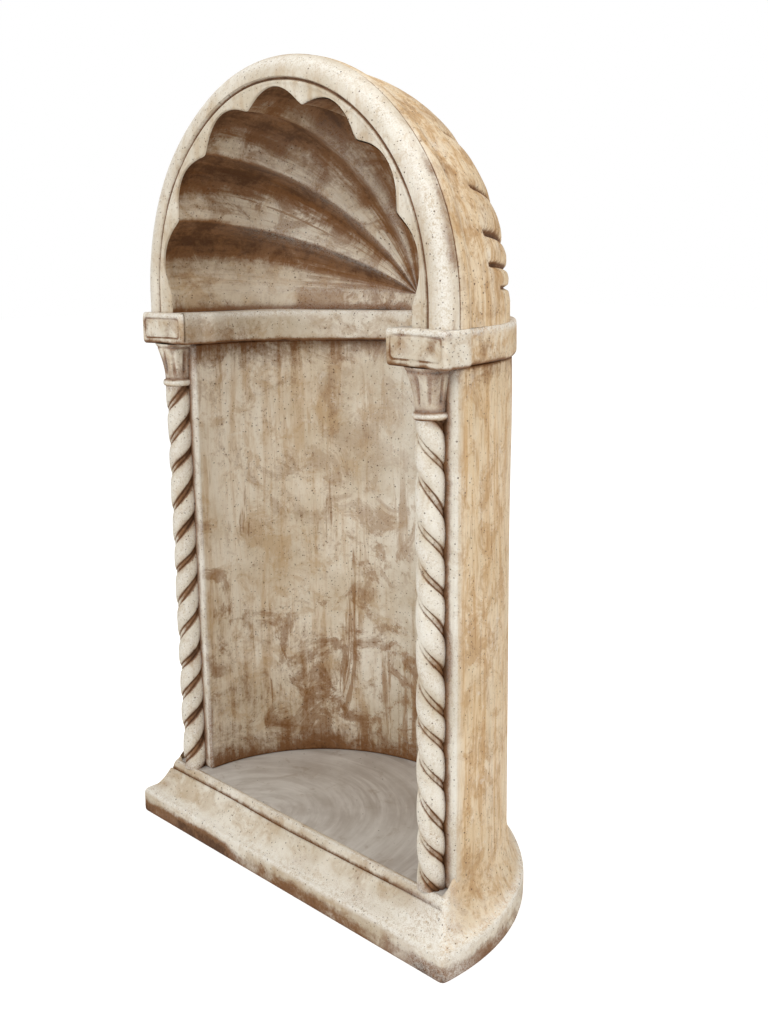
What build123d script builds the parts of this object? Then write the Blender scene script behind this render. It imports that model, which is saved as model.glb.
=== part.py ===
from build123d import *
import math
import os

# Driving dimensions, in millimetres. The origin lies on the ground, at the middle of the arch's front plane.
WALL_RADIUS = 279.0
WALL_CENTRE_Y = 11.0
JAMB_FRONT_Y = 23.0
NICHE_RADIUS = 217.0
NICHE_CENTRE_Y = 38.0
PLINTH_HEIGHT = 78.0
BAND_FOOT_HEIGHT = 703.0
BAND_HEIGHT = 42.0
STILT_HEIGHT = 22.0

# Plinth
RIM_PROJECTION = 36.0
RIM_CENTRE_Y = -10.0
RIM_HEIGHT = 34.0
SKIRT_TOP_WIDTH = 1.5
SKIRT_HOLLOW_DEPTH = 5.0
SILL_FRONT_Y = -36.0
SILL_BACK_Y = 10.0
SILL_HOLLOW_DEPTH = 4.5
LIP_FRONT_Y = -3.0
LIP_HEIGHT = 10.0
LIP_ROUND_RADIUS = 8.0
LIP_GROOVE_DEPTH = 2.0
LIP_GROOVE_WIDTH = 3.0

# Columns
COLUMN_X = 245.7
COLUMN_Y = 16.0
COLUMN_RADIUS = 17.5
COLUMN_WAIST_RADIUS = 14.0
COLUMN_NOTCH_RADIUS = 12.4
COLUMN_FILLET_RADIUS = 14.4
COLUMN_TURN_HEIGHT = 95.0
NECK_RADIUS = 20.5
NECK_HEIGHT = 9.0
BELL_FOOT_RADIUS = 17.5
BELL_TOP_RADIUS = 24.0
BELL_HEIGHT = 49.0
BELL_HOLLOW_DEPTH = 2.5
LEAF_WIDTH = 5.0
LEAF_DEPTH = 2.0
LEAF_FOOT_HEIGHT = 8.0
BED_CLEARANCE = 0.3

# Impost band and blocks
BAND_PROJECTION = 4.0
BAND_INNER_RADIUS = 192.0
BAND_CENTRE_Y = 45.0
BLOCK_INNER_X = 198.0
BLOCK_OUTER_X = 293.0
BLOCK_FRONT_Y = -8.0
BLOCK_EDGE_RADIUS = 4.0
PANEL_MARGIN = 9.0
PANEL_LINE_WIDTH = 2.0
PANEL_DEPTH = 1.5

# Arch and shell
ARCH_RADIUS = 292.0
ARCH_WIDTH = 36.0
ARCH_DEPTH = 40.0
ARCH_ROLL_RADIUS = 12.0
ARCH_LINE_Y = 16.0
ARCH_LINE_DEPTH = 1.5
ARCH_LINE_WIDTH = 2.0
DOME_STEP_DEPTH = 10.0
DOME_CENTRE_Y = 24.0
DOME_BACK_Y = 264.0
RIM_FACE_WIDTH = 26.0
SHELL_BACK_Y = 242.0
FLUTE_DEPTH = 19.0
CUSP_DEPTH = 3.5
GROOVE_START_Y = 105.0
GROOVE_DEPTH = 10.0
GROOVE_HALF_WIDTH = 2.5
HINGE_RADIUS = 40.0

# Counts, angles in degrees and shares
FLUTES = 7
LEAVES = 8
ARCH_ANGLES = (0, 60, 120, 180)
WALL_ANGLES = (12, 43, 74, 106, 137, 168)
SKIRT_ANGLES = (-12, 30, 68, 112, 150, 192)
LOBE_ANGLE = 62
NOTCH_ANGLE = 67
FILLET_ANGLE = 72
LEAF_ANGLE = 6
FLUTE_ANGLES = (0, 18, 36, 52, 66, 78, 84)

# One overrun for every cut
OVERRUN = 5.0

# Worked-out sizes
REACH = 2 * WALL_RADIUS
BAND_TOP_HEIGHT = BAND_FOOT_HEIGHT + BAND_HEIGHT
SPRING_HEIGHT = BAND_TOP_HEIGHT + STILT_HEIGHT
SHAFT_TOP_HEIGHT = BAND_FOOT_HEIGHT - BELL_HEIGHT - NECK_HEIGHT
LIP_FOOT_HEIGHT = PLINTH_HEIGHT - LIP_HEIGHT
RIM_RADIUS = WALL_RADIUS + RIM_PROJECTION
SILL_END_X = math.sqrt(RIM_RADIUS ** 2 - (SILL_FRONT_Y - RIM_CENTRE_Y) ** 2)
ARCH_INNER_RADIUS = ARCH_RADIUS - ARCH_WIDTH
DOME_RADIUS = ARCH_RADIUS - DOME_STEP_DEPTH
SHELL_RIB_RADIUS = ARCH_INNER_RADIUS - RIM_FACE_WIDTH
FLUTE_SPAN = math.pi / FLUTES
CUSP_RADIUS = SHELL_RIB_RADIUS + CUSP_DEPTH
FLUTE_RISE = SHELL_RIB_RADIUS + FLUTE_DEPTH - CUSP_RADIUS * math.cos(FLUTE_SPAN / 2)
FLUTE_CHORD = CUSP_RADIUS * math.sin(FLUTE_SPAN / 2)
FLUTE_RADIUS = (FLUTE_RISE ** 2 + FLUTE_CHORD ** 2) / (2 * FLUTE_RISE)
FLUTE_REACH = SHELL_RIB_RADIUS + FLUTE_DEPTH - FLUTE_RADIUS

SPRING_AXIS = Axis((0, 0, SPRING_HEIGHT), (0, -1, 0))


def save(shape, node):
    """Writes one piece as a STEP file under its node name."""
    export_step(shape, os.path.join("parts", node + ".step"))


def block(x0, x1, y0, y1, z0, z1):
    """A box between two corners."""
    size = (x1 - x0, y1 - y0, z1 - z0)
    return Pos((x0 + x1) / 2, (y0 + y1) / 2, (z0 + z1) / 2) * Box(*size)


def mirrored(shape):
    """The same piece on the other side of the middle plane."""
    return mirror(shape, about=Plane.YZ)


def sector(centre_y, start, end):
    """A flat wedge from the middle line at centre_y, between two angles from the right."""
    middle = (start + end) / 2
    corners = [(0, centre_y)]
    for angle in (start, middle, end):
        turn = math.radians(angle)
        corners.append((REACH * math.cos(turn), centre_y + REACH * math.sin(turn)))
    return make_face(Polyline(*corners, close=True))


def upright(flat, bottom, top):
    """A plan carried straight up between two heights."""
    return Pos(0, 0, bottom) * extrude(flat, amount=top - bottom, dir=(0, 0, 1))


def sill_plan():
    """The plinth's front strip, mitred to the skirt at both ends."""
    corners = [
        (-SILL_END_X, SILL_FRONT_Y),
        (SILL_END_X, SILL_FRONT_Y),
        (WALL_RADIUS, SILL_BACK_Y),
        (-WALL_RADIUS, SILL_BACK_Y),
    ]
    return make_face(Polyline(*corners, close=True))


def front_sill():
    """The moulded front: a low face, a hollow slope, an incised line and a rounded lip."""
    hollow_y = (SILL_FRONT_Y + LIP_FRONT_Y) / 2 + SILL_HOLLOW_DEPTH
    hollow_height = (RIM_HEIGHT + LIP_FOOT_HEIGHT) / 2 - SILL_HOLLOW_DEPTH
    groove = (LIP_FRONT_Y + LIP_GROOVE_DEPTH, LIP_FOOT_HEIGHT - LIP_GROOVE_DEPTH / 2)
    lip_foot = (LIP_FRONT_Y + LIP_GROOVE_DEPTH / 2, LIP_FOOT_HEIGHT + LIP_GROOVE_WIDTH / 2)
    lip_top = (LIP_FRONT_Y + LIP_ROUND_RADIUS, PLINTH_HEIGHT)
    outline = [
        Polyline((SILL_BACK_Y, 0), (SILL_FRONT_Y, 0), (SILL_FRONT_Y, RIM_HEIGHT)),
        ThreePointArc((SILL_FRONT_Y, RIM_HEIGHT), (hollow_y, hollow_height), (LIP_FRONT_Y, LIP_FOOT_HEIGHT)),
        Polyline((LIP_FRONT_Y, LIP_FOOT_HEIGHT), groove, lip_foot),
        TangentArc(lip_foot, lip_top, tangent=(0, 1)),
        Polyline(lip_top, (SILL_BACK_Y, PLINTH_HEIGHT), (SILL_BACK_Y, 0)),
    ]
    profile = Plane.YZ * make_face(outline)
    bar = extrude(profile, amount=REACH, both=True)
    return bar & upright(sill_plan(), -OVERRUN, PLINTH_HEIGHT + OVERRUN)


def skirt_ring():
    """The plinth's round side: an upright rim and a hollow that sweeps up to the foot of the wall."""
    rim = Pos(0, RIM_CENTRE_Y) * Circle(RIM_RADIUS)
    middle_radius = (RIM_RADIUS + WALL_RADIUS + SKIRT_TOP_WIDTH) / 2 - SKIRT_HOLLOW_DEPTH
    middle_height = (RIM_HEIGHT + PLINTH_HEIGHT) / 2
    middle = Pos(0, (RIM_CENTRE_Y + WALL_CENTRE_Y) / 2, middle_height) * Circle(middle_radius)
    top = Pos(0, WALL_CENTRE_Y, PLINTH_HEIGHT) * Circle(WALL_RADIUS + SKIRT_TOP_WIDTH)
    ring = upright(rim, 0, RIM_HEIGHT) + loft([Pos(0, 0, RIM_HEIGHT) * rim, middle, top])
    body = Pos(0, WALL_CENTRE_Y) * Circle(WALL_RADIUS)
    strip = Pos(0, SILL_BACK_Y - REACH / 2) * Rectangle(2 * WALL_RADIUS, REACH)
    front = Pos(0, SILL_FRONT_Y - REACH / 2) * Rectangle(2 * REACH, REACH)
    return ring - upright(body + strip + front + sill_plan(), -OVERRUN, PLINTH_HEIGHT + OVERRUN)


def floor_slab():
    """The floor of the niche, a half round that also carries the wall."""
    disc = Pos(0, WALL_CENTRE_Y) * Circle(WALL_RADIUS)
    front = Pos(0, SILL_BACK_Y - REACH) * Rectangle(2 * REACH, 2 * REACH)
    return upright(disc - front, 0, PLINTH_HEIGHT)


def half_ring(inner_radius, inner_centre_y, outer_radius):
    """A half-round course in plan, open at the front."""
    outer = Pos(0, WALL_CENTRE_Y) * Circle(outer_radius)
    inner = Pos(0, inner_centre_y) * Circle(inner_radius)
    mouth = Pos(0, inner_centre_y - REACH / 2) * Rectangle(2 * inner_radius, REACH)
    front = Pos(0, JAMB_FRONT_Y - REACH / 2) * Rectangle(2 * REACH, REACH)
    return outer - inner - mouth - front


def wall_segment(start, end):
    """One segment of the wall, from the floor up to the band."""
    plan = half_ring(NICHE_RADIUS, NICHE_CENTRE_Y, WALL_RADIUS) & sector(NICHE_CENTRE_Y, start, end)
    return upright(plan, PLINTH_HEIGHT, BAND_FOOT_HEIGHT)


def band_segment(start, end):
    """One segment of the band, standing proud of the wall inside and outside."""
    ring = half_ring(BAND_INNER_RADIUS, BAND_CENTRE_Y, WALL_RADIUS + BAND_PROJECTION)
    plan = ring & sector(NICHE_CENTRE_Y, start, end)
    return upright(plan, BAND_FOOT_HEIGHT, BAND_TOP_HEIGHT)


def front_wedge():
    """The plan in front of the first cut of the wall, on the right."""
    before = Pos(REACH / 2, NICHE_CENTRE_Y - REACH / 2) * Rectangle(REACH, REACH)
    return sector(NICHE_CENTRE_Y, 0, WALL_ANGLES[0]) + before


def jamb(capital):
    """The right front edge of the wall, with a round bed that the column is set in."""
    plan = half_ring(NICHE_RADIUS, NICHE_CENTRE_Y, WALL_RADIUS) & front_wedge()
    post = upright(plan, PLINTH_HEIGHT, BAND_FOOT_HEIGHT)
    bed = Pos(COLUMN_X, COLUMN_Y) * Circle(COLUMN_RADIUS + BED_CLEARANCE)
    post = post - upright(bed, 0, SHAFT_TOP_HEIGHT + NECK_HEIGHT / 2)
    for piece in capital:
        post = post - piece
    return post


def polar(radius, angle):
    """A point of the shaft's section."""
    turn = math.radians(angle)
    return (radius * math.cos(turn), radius * math.sin(turn))


def shaft_section():
    """Two round strands with a narrow fillet between incised lines on each side."""
    outline = []
    for side in (0, 180):
        outline.append(ThreePointArc(
            polar(COLUMN_WAIST_RADIUS, side - LOBE_ANGLE),
            polar(COLUMN_RADIUS, side),
            polar(COLUMN_WAIST_RADIUS, side + LOBE_ANGLE)))
        outline.append(Polyline(
            polar(COLUMN_WAIST_RADIUS, side + LOBE_ANGLE),
            polar(COLUMN_NOTCH_RADIUS, side + NOTCH_ANGLE),
            polar(COLUMN_FILLET_RADIUS, side + FILLET_ANGLE),
            polar(COLUMN_FILLET_RADIUS, side + 180 - FILLET_ANGLE),
            polar(COLUMN_NOTCH_RADIUS, side + 180 - NOTCH_ANGLE),
            polar(COLUMN_WAIST_RADIUS, side + 180 - LOBE_ANGLE)))
    return make_face(outline)


def twisted_shaft():
    """The right column's shaft: the section turned steadily as it climbs."""
    height = SHAFT_TOP_HEIGHT - PLINTH_HEIGHT
    turn = -360 * height / COLUMN_TURN_HEIGHT
    shaft = Solid.extrude_linear_with_rotation(shaft_section().face(), (0, 0, 0), (0, 0, height), turn)
    return Pos(COLUMN_X, COLUMN_Y, PLINTH_HEIGHT) * shaft


def neck_ring():
    """The rounded ring at the top of the shaft."""
    ring = Cylinder(NECK_RADIUS, NECK_HEIGHT, align=(Align.CENTER, Align.CENTER, Align.MIN))
    ring = fillet(ring.edges(), NECK_HEIGHT / 2 - NECK_HEIGHT / 10)
    return Pos(COLUMN_X, COLUMN_Y, SHAFT_TOP_HEIGHT) * ring


def bell_capital():
    """A hollow-sided bell with shallow upright leaves."""
    foot = SHAFT_TOP_HEIGHT + NECK_HEIGHT
    height = BAND_FOOT_HEIGHT - foot
    middle_radius = (BELL_FOOT_RADIUS + BELL_TOP_RADIUS) / 2 - BELL_HOLLOW_DEPTH
    middle = (middle_radius, height / 2 + BELL_HOLLOW_DEPTH / 2)
    outline = [
        Polyline((BELL_TOP_RADIUS, height), (0, height), (0, 0), (BELL_FOOT_RADIUS, 0)),
        ThreePointArc((BELL_FOOT_RADIUS, 0), middle, (BELL_TOP_RADIUS, height)),
    ]
    bell = revolve(Plane.XZ * make_face(outline), Axis.Z)
    reach = BELL_FOOT_RADIUS + LEAF_WIDTH / 2 - LEAF_DEPTH
    slot = Cylinder(LEAF_WIDTH / 2, height, align=(Align.CENTER, Align.CENTER, Align.MIN))
    slot = Pos(reach, 0, LEAF_FOOT_HEIGHT) * Rot(0, LEAF_ANGLE, 0) * slot
    for turn in range(LEAVES):
        bell = bell - Rot(0, 0, 360 * turn / LEAVES) * slot
    return Pos(COLUMN_X, COLUMN_Y, foot) * bell


def impost_block():
    """The right impost block, with a fine incised panel on its front."""
    depth = REACH - BLOCK_FRONT_Y
    width = BLOCK_OUTER_X - BLOCK_INNER_X
    slab = Pos(BLOCK_INNER_X + width / 2, BLOCK_FRONT_Y + depth / 2) * Rectangle(width, depth)
    outer = Pos(0, WALL_CENTRE_Y) * Circle(WALL_RADIUS + BAND_PROJECTION)
    before = Pos(0, NICHE_CENTRE_Y - REACH / 2) * Rectangle(2 * REACH, REACH)
    inner = Pos(0, BAND_CENTRE_Y) * Circle(BAND_INNER_RADIUS)
    body = upright(slab & front_wedge() & (outer + before) - inner, BAND_FOOT_HEIGHT, BAND_TOP_HEIGHT)
    near, far = BLOCK_FRONT_Y - OVERRUN / 10, BLOCK_FRONT_Y + OVERRUN / 10
    body = fillet(body.edges().filter_by_position(Axis.Y, near, far), BLOCK_EDGE_RADIUS)
    left, right = BLOCK_INNER_X + PANEL_MARGIN, BLOCK_OUTER_X - PANEL_MARGIN
    low, high = BAND_FOOT_HEIGHT + PANEL_MARGIN, BAND_TOP_HEIGHT - PANEL_MARGIN
    back = BLOCK_FRONT_Y + PANEL_DEPTH
    panel = block(left, right, BLOCK_FRONT_Y - OVERRUN, back, low, high)
    line = PANEL_LINE_WIDTH
    core = block(left + line, right - line, BLOCK_FRONT_Y - OVERRUN, back, low + line, high - line)
    return body - (panel - core)


def arch_section():
    """The arch's section at the right springing: roll edge, incised lines front and outside."""
    outline = Pos((ARCH_INNER_RADIUS + ARCH_RADIUS) / 2, ARCH_DEPTH / 2) * Rectangle(
        ARCH_RADIUS - ARCH_INNER_RADIUS, ARCH_DEPTH)
    corner = outline.vertices().sort_by_distance((ARCH_RADIUS, 0, 0))[0]
    outline = fillet(corner, ARCH_ROLL_RADIUS)
    line = Pos(ARCH_RADIUS, ARCH_LINE_Y) * Rectangle(2 * ARCH_LINE_DEPTH, ARCH_LINE_WIDTH)
    step = Pos(ARCH_INNER_RADIUS, 0) * Rectangle(2 * ARCH_LINE_WIDTH, 2 * ARCH_LINE_DEPTH)
    return Pos(0, 0, SPRING_HEIGHT) * (outline - line - step)


def arch_segment(start, end):
    """One third of the arch, turned about the springing axis."""
    section = arch_section().rotate(SPRING_AXIS, start)
    segment = revolve(section, SPRING_AXIS, revolution_arc=end - start)
    leg = extrude(arch_section(), amount=BAND_TOP_HEIGHT - SPRING_HEIGHT, dir=(0, 0, 1))
    if start == 0:
        segment = segment + leg
    if end == 180:
        segment = segment + mirrored(leg)
    return segment


def shell_wall_plan():
    """The half dome's wall in plan on the right, from the rim face round to the back."""
    dome = Pos(0, DOME_CENTRE_Y) * Ellipse(DOME_RADIUS, DOME_BACK_Y - DOME_CENTRE_Y)
    shell = Ellipse(SHELL_RIB_RADIUS, SHELL_BACK_Y)
    behind = Pos(REACH / 2, ARCH_DEPTH + REACH / 2) * Rectangle(REACH, REACH)
    rim = Pos(ARCH_INNER_RADIUS / 2, ARCH_DEPTH / 2) * Rectangle(ARCH_INNER_RADIUS, ARCH_DEPTH)
    return ((dome & behind) + rim) - shell


def dome_course():
    """The right half of the low upright course between the band and the springing."""
    return upright(shell_wall_plan(), BAND_TOP_HEIGHT, SPRING_HEIGHT)


def flute():
    """A tapering scoop that follows the shell from its rim back to the hinge."""
    sections = [Pos(FLUTE_REACH, -OVERRUN) * (Plane.XZ * Circle(FLUTE_RADIUS))]
    for station in FLUTE_ANGLES:
        share = math.cos(math.radians(station))
        depth = SHELL_BACK_Y * math.sin(math.radians(station))
        sections.append(Pos(FLUTE_REACH * share, depth) * (Plane.XZ * Circle(FLUTE_RADIUS * share)))
    return Pos(0, 0, SPRING_HEIGHT) * loft(sections)


def outer_groove():
    """A slot down the back of the dome, deeper towards the foot."""
    depth = DOME_BACK_Y - DOME_CENTRE_Y
    dome = Pos(0, DOME_CENTRE_Y) * Ellipse(DOME_RADIUS + OVERRUN, depth + OVERRUN)
    floor = Pos(0, DOME_CENTRE_Y - GROOVE_DEPTH) * Ellipse(DOME_RADIUS, depth)
    behind = Pos(REACH / 2, GROOVE_START_Y + REACH / 2) * Rectangle(REACH, REACH)
    flat = Pos(0, 0, SPRING_HEIGHT) * ((dome & behind) - floor)
    return extrude(flat, amount=GROOVE_HALF_WIDTH, both=True, dir=(0, 0, 1))


def shell_gore():
    """The first gore of the half dome, from the right springing up, fluted inside."""
    span = 180 / FLUTES
    profile = Pos(0, 0, SPRING_HEIGHT) * (shell_wall_plan() - hinge_strip())
    gore = revolve(profile, SPRING_AXIS, revolution_arc=span)
    gore = gore - flute().rotate(SPRING_AXIS, span / 2)
    slot = outer_groove()
    gore = gore - slot - slot.rotate(SPRING_AXIS, span)
    return gore


def hinge_strip():
    """The strip of the plan next to the middle, where the flutes meet."""
    return Pos(0, DOME_BACK_Y) * Rectangle(2 * HINGE_RADIUS, 2 * DOME_BACK_Y)


def ellipse_height(radius, across, along):
    """The height of an ellipse over its centre line, at a distance from its axis."""
    return along * math.sqrt(1 - (radius / across) ** 2)


def shell_hinge():
    """The half-round boss at the back that every gore runs into."""
    inner = ellipse_height(HINGE_RADIUS, SHELL_RIB_RADIUS, SHELL_BACK_Y)
    outer = DOME_CENTRE_Y + ellipse_height(HINGE_RADIUS, DOME_RADIUS, DOME_BACK_Y - DOME_CENTRE_Y)
    corners = [(0, SHELL_BACK_Y), (HINGE_RADIUS, inner), (HINGE_RADIUS, outer), (0, DOME_BACK_Y)]
    profile = Pos(0, 0, SPRING_HEIGHT) * make_face(Polyline(*corners, close=True))
    return revolve(profile, SPRING_AXIS, revolution_arc=180)


def build():
    """Makes every piece and writes it."""
    os.makedirs("parts", exist_ok=True)
    save(front_sill(), "front_sill")
    ring = skirt_ring()
    names = ("right", "rear_right", "rear", "rear_left", "left")
    for name, start, end in zip(names, SKIRT_ANGLES, SKIRT_ANGLES[1:]):
        wedge = upright(sector(WALL_CENTRE_Y, start, end), -OVERRUN, PLINTH_HEIGHT + OVERRUN)
        save(ring & wedge, "skirt_" + name)
    save(floor_slab(), "floor_slab")
    for name, start, end in zip(names, WALL_ANGLES, WALL_ANGLES[1:]):
        save(wall_segment(start, end), "wall_" + name)
        save(band_segment(start, end), "band_" + name)
    shaft, neck, bell = twisted_shaft(), neck_ring(), bell_capital()
    right_side = {
        "jamb": jamb((neck, bell)),
        "column_shaft": shaft,
        "column_neck": neck,
        "capital": bell,
        "impost_block": impost_block(),
        "dome_course": dome_course(),
    }
    for name, piece in right_side.items():
        save(piece, "right_" + name)
        save(mirrored(piece), "left_" + name)
    for name, start, end in zip(("right", "crown", "left"), ARCH_ANGLES, ARCH_ANGLES[1:]):
        save(arch_segment(start, end), "arch_" + name)
    save(shell_hinge(), "shell_hinge")
    gore = shell_gore()
    for count in range(FLUTES):
        save(gore.rotate(SPRING_AXIS, 180 / FLUTES * count), f"shell_gore_{count + 1}")


build()
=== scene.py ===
"""Statue niche: worn cast-stone surfaces over the CAD frame, with a plain studio stage."""
import math

import bpy
import numpy as np
from mathutils import Matrix, Vector


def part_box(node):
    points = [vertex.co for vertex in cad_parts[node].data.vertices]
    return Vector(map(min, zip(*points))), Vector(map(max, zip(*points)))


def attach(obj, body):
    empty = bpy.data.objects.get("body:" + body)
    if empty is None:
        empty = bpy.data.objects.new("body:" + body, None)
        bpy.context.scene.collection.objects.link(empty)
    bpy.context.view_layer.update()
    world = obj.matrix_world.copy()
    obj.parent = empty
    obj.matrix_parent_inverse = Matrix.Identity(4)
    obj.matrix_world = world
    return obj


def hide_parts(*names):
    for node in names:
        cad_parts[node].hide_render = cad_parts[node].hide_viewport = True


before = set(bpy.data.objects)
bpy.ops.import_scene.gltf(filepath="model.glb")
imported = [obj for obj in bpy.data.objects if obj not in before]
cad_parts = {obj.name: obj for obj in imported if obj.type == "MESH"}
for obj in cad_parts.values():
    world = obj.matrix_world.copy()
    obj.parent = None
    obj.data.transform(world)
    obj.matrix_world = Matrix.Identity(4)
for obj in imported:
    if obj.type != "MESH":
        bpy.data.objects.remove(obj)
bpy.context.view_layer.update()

bl_info = {
    "name": "Statue niche",
    "version": (1, 0, 0),
    "blender": (4, 5, 0),
    "location": "View3D > Sidebar > Niche",
    "description": "Worn cast-stone surfaces of a statue niche",
    "category": "Add Mesh",
}

MM = 0.001
NODES = sorted(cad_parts)
SKIRT = [name for name in NODES if name.startswith("skirt_")]
WALLS = [name for name in NODES if name.startswith("wall_") or name.endswith("_jamb")]
COURSE = [name for name in NODES if name.startswith("band_") or name.endswith("_impost_block")]
SHELL = [name for name in NODES if name.startswith("shell_")]
ARCH = [name for name in NODES if name.startswith("arch_") or name.endswith("_dome_course")]
SIDES = (("right", 1), ("left", -1))

# The arch's face from the rim over the incised line and the roll: millimetres across and back
ROLL_POINTS = (
    (-5.5, 0.3), (-4, -0.6), (-2.6, -0.9), (-1.2, -0.2), (-0.2, 2.4), (0.9, 2.8), (2.0, 1.6), (3.6, -0.6),
    (6, -1.9), (10, -2.7), (15, -2.6), (20, -1.6), (25, 0.6), (29, 3.2), (32.5, 7), (34.8, 11), (35.8, 14.4),
    (35.2, 16), (34.2, 17), (35, 18.2), (35.7, 20), (35.2, 27), (33.5, 33), (30.6, 38), (27.4, 43))
# The dome's slots: degrees above the springing, half width and starting depth in millimetres
SLOTS = ((4, 2.4, 112), (9.5, 3.2, 84), (17, 4.2, 80), (28.5, 3.0, 80), (45, 2.8, 90))
# The plinth's profiles: share of the way in to the wall, and height in millimetres
FOOT_POINTS = (
    (1.0, 0.0), (0.5, 0.0), (0.12, 0.0), (0.035, 0.6), (0.008, 3.0), (0, 7), (0, 14), (0, 21), (0.003, 27),
    (0.014, 31), (0.04, 33.4), (0.075, 34.6))
LIP_POINTS = (
    (0.715, 66.2), (0.73, 64.4), (0.745, 66.0), (0.755, 70), (0.775, 74), (0.815, 77), (0.87, 78.2),
    (0.93, 78.3), (0.97, 78.0), (1.0, 77.4))
SLOPE_SHARES = (0.76, 0.82, 0.87, 0.91, 0.945, 0.97, 0.985, 0.995, 1.01, 1.06)


def srgb(red, green, blue):
    """A colour written as 0 to 255, for a shader."""
    value = np.array([red, green, blue]) / 255.0
    linear = np.where(value <= 0.04045, value / 12.92, ((value + 0.055) / 1.055) ** 2.4)
    return (*linear.tolist(), 1.0)


def length(name, description, default):
    """A length in metres for the sizes."""
    return bpy.props.FloatProperty(
        name=name, description=description, default=default, unit="LENGTH", precision=4)


def paint(name, description, *rgb):
    """A colour for the finishes."""
    return bpy.props.FloatVectorProperty(
        name=name, description=description, default=srgb(*rgb), size=4, min=0, max=1, subtype="COLOR")


class NicheSizes(bpy.types.PropertyGroup):
    """Sizes of the worn surfaces that the frame's boxes don't give."""

    flutes: bpy.props.IntProperty(name="Flutes", description="Flutes of the shell", default=7, min=3)
    rim_radius: length("Rim radius", "Outer radius of the scalloped rim", 0.256)
    rib_radius: length("Rib radius", "Radius of the shell's ribs at the rim", 0.231)
    flute_depth: length("Flute depth", "Depth of a flute at the rim", 0.018)
    shell_front: length("Shell front", "Depth where the shell's hollow begins", 0.003)
    shell_back: length("Shell back", "Depth of the point where the flutes meet", 0.242)
    roll_width: length("Roll width", "Width of the arch from its incised line", 0.0358)
    dome_start: length("Dome start", "Depth where the dome leaves the arch", 0.024)
    slot_depth: length("Slot depth", "Depth of the slots outside the dome", 0.008)
    column_lead: length("Column lead", "Rise of a strand in one turn", 0.095)
    wall_centre: length("Wall centre", "Depth of the outer wall's axis", 0.011)
    wall_rounding: length("Wall rounding", "Radius of the wall's edges", 0.004)
    niche_centre: length("Niche centre", "Depth of the inner wall's axis", 0.038)
    niche_radius: length("Niche radius", "Radius of the inner wall", 0.217)
    block_inner: length("Block inner side", "Inner side of an impost block from the middle", 0.198)
    band_centre: length("Band centre", "Depth of the band's inner axis", 0.045)
    band_radius: length("Band radius", "Radius of the band's inner edge", 0.192)
    band_rounding: length("Band rounding", "Radius of the band's edges", 0.0045)
    panel_inset: length("Panel inset", "Distance of a block's panel line from its edge", 0.008)
    panel_line: length("Panel line", "Depth and half width of a block's panel line", 0.0016)
    rim_centre: length("Plinth centre", "Depth of the plinth rim's axis", -0.010)


class NicheColours(bpy.types.PropertyGroup):
    """Main colours of the stone and the cement."""

    cream: paint("Cream", "Fresh face of the cast stone", 235, 230, 218)
    shade: paint("Shade", "Dull patches of the cream", 196, 184, 163)
    tan: paint("Tan", "Wash on the outside", 238, 208, 163)
    smear: paint("Smear", "Brown dragged over the inner wall", 148, 106, 62)
    # Also the colour of the painted shade and shadow that the pieces carry with their brown.
    stain: paint("Stain", "Brown in the hollows", 121, 77, 35)
    deep: paint("Deep stain", "Darkest brown in the hollows", 72, 43, 20)
    # Also the colour of the painted highlights that the pieces carry with their worn edges.
    pale: paint("Pale", "Worn edges and bloom", 244, 241, 233)
    cement: paint("Cement", "Floor slab", 202, 198, 192)


def sizes():
    """The scene's sizes."""
    return bpy.context.scene.niche_sizes


def colours():
    """The scene's colours."""
    return bpy.context.scene.niche_colours


def lumps(points, scale, seed):
    """Soft pseudo-random swell between -1 and 1: a mean of plane waves in seeded directions."""
    rng = np.random.default_rng(seed)
    total = np.zeros(points.shape[:-1])
    count = 9
    for _ in range(count):
        direction = rng.normal(size=3)
        direction *= scale * rng.uniform(0.6, 1.6) / np.linalg.norm(direction)
        total += np.sin(points @ direction + rng.uniform(0, 2 * np.pi))
    return total / math.sqrt(count)


def bump(x, centre, width):
    """A bell-shaped rise of height one."""
    return np.exp(-(((x - centre) / width) ** 2))


def smooth(x, low, high):
    """A soft step from zero at low to one at high."""
    t = np.clip((x - low) / (high - low), 0, 1)
    return t * t * (3 - 2 * t)


def grid_piece(name, points, flip=False, wrap_u=False, wrap_v=False, grain=None, **layers):
    """Joins a grid of points into quads and stores its brush direction and one float attribute per layer."""
    rows, columns = points.shape[:2]
    index = np.arange(rows * columns).reshape(rows, columns)
    if wrap_u:
        index = np.vstack([index, index[:1]])
    if wrap_v:
        index = np.hstack([index, index[:, :1]])
    corners = [index[:-1, :-1], index[1:, :-1], index[1:, 1:], index[:-1, 1:]]
    if flip:
        corners.reverse()
    quads = np.stack([c.ravel() for c in corners], 1)
    mesh = bpy.data.meshes.new(name)
    mesh.vertices.add(rows * columns)
    mesh.vertices.foreach_set("co", points.reshape(-1))
    mesh.loops.add(quads.size)
    mesh.loops.foreach_set("vertex_index", quads.ravel())
    mesh.polygons.add(len(quads))
    mesh.polygons.foreach_set("loop_start", np.arange(0, quads.size, 4))
    mesh.polygons.foreach_set("use_smooth", np.ones(len(quads), bool))
    mesh.update(calc_edges=True)
    brush = points * (1, 1, 0.1) if grain is None else np.broadcast_to(grain, points.shape)
    data = mesh.attributes.new("grain", "FLOAT_VECTOR", "POINT")
    data.data.foreach_set("vector", np.ascontiguousarray(brush, np.float32).ravel())
    for layer, values in layers.items():
        data = mesh.attributes.new(layer, "FLOAT", "POINT")
        data.data.foreach_set("value", np.broadcast_to(values, (rows, columns)).astype(np.float32).ravel())
    mesh.validate()
    piece = bpy.data.objects.new(name, mesh)
    bpy.context.scene.collection.objects.link(piece)
    return piece


def finish_piece(piece, nodes, material="worn_stone"):
    """Gives a piece its material and puts it in place of its CAD nodes."""
    piece.data.materials.append(bpy.data.materials[material])
    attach(piece, "root")
    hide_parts(*nodes)


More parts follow.
